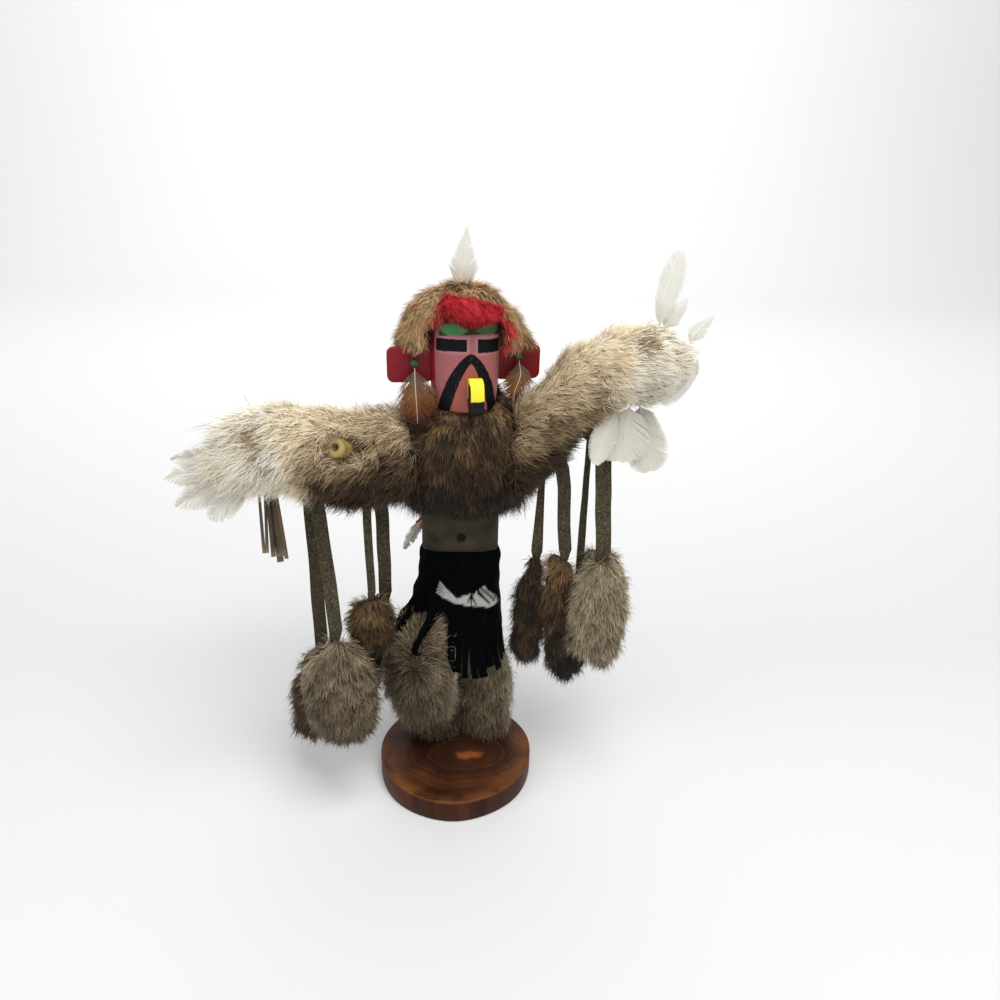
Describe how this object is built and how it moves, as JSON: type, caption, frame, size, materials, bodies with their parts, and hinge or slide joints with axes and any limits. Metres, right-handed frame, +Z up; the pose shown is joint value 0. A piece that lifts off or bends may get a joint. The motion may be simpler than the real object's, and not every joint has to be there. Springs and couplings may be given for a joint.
{
  "type": "kachina doll",
  "caption": "Winged kachina doll with a painted mask, fur-wrapped wings and leggings, leather kilt, feathers and hanging fur tabs, standing on a round wooden base.",
  "frame": {"origin": "centre of the round base's underside", "axes": "+Z up, the mask faces -Y, the drooping wing is on -X and the raised wing on +X"},
  "size_m": [0.2604, 0.0901, 0.3138],
  "materials": {
    "oiled_wood": "oiled, with the grain and rings showing",
    "body_paint": "matt buff paint",
    "mask_paint": "satin paint, dusty rose",
    "ear_paint": "satin paint, deep red",
    "beak_paint": "satin paint, yellow with a black tip",
    "bare_wood": "bare, sanded",
    "black_leather": "matt, soft",
    "suede": "matt, speckled where the nap has worn",
    "brown_fur": "rabbit fur, brown agouti",
    "grey_fur": "rabbit fur, grey-brown agouti",
    "pale_fur": "rabbit fur, cream to white",
    "red_fluff": "dyed fluff",
    "white_feather": "white feather",
    "tawny_feather": "tawny breast feather",
    "green_glass": "dark green, faceted",
    "red_yarn": "wound yarn"
  },
  "bodies": {
    "root": {"base": "oiled_wood", "leg_left": "grey_fur", "leg_right": "grey_fur", "body": "body_paint", "kilt": "black_leather", "vest": "brown_fur", "wing_left": "pale_fur", "wing_right": "pale_fur", "hand_left": "bare_wood", "head": "mask_paint", "ear_left": "ear_paint", "ear_right": "ear_paint", "beak": "beak_paint", "bead_left": "green_glass", "bead_right": "green_glass", "hair": "brown_fur", "forehead_fluff": "red_fluff", "crest_feather": "white_feather", "ear_feather_left": "tawny_feather", "ear_feather_right": "tawny_feather", "thong_left_outer": "suede", "thong_left_inner": "suede", "thong_right_inner": "suede", "thong_right_outer": "suede", "tab_left_outer_front": "grey_fur", "tab_left_outer_back": "brown_fur", "tab_left_inner_front": "grey_fur", "tab_left_inner_back": "brown_fur", "tab_right_inner_back": "brown_fur", "tab_right_inner_front": "grey_fur", "tab_right_outer_front": "grey_fur", "tab_right_outer_back": "brown_fur", "wing_feather_right_tall": "white_feather", "wing_feather_right_curled": "white_feather", "wing_feather_right_pointed": "white_feather", "wing_feather_right_broad": "white_feather", "wing_feather_right_hanging_front": "white_feather", "wing_feather_right_hanging_middle": "white_feather", "wing_feather_right_hanging_back": "white_feather", "wing_feather_left_upper": "white_feather", "wing_feather_left_middle": "white_feather", "wing_feather_left_lower": "white_feather", "wing_feather_left_downy": "white_feather", "wing_fringe": "black_leather", "tail_tie": "red_yarn", "tail_feather": "white_feather"}
  },
  "joints": []
}
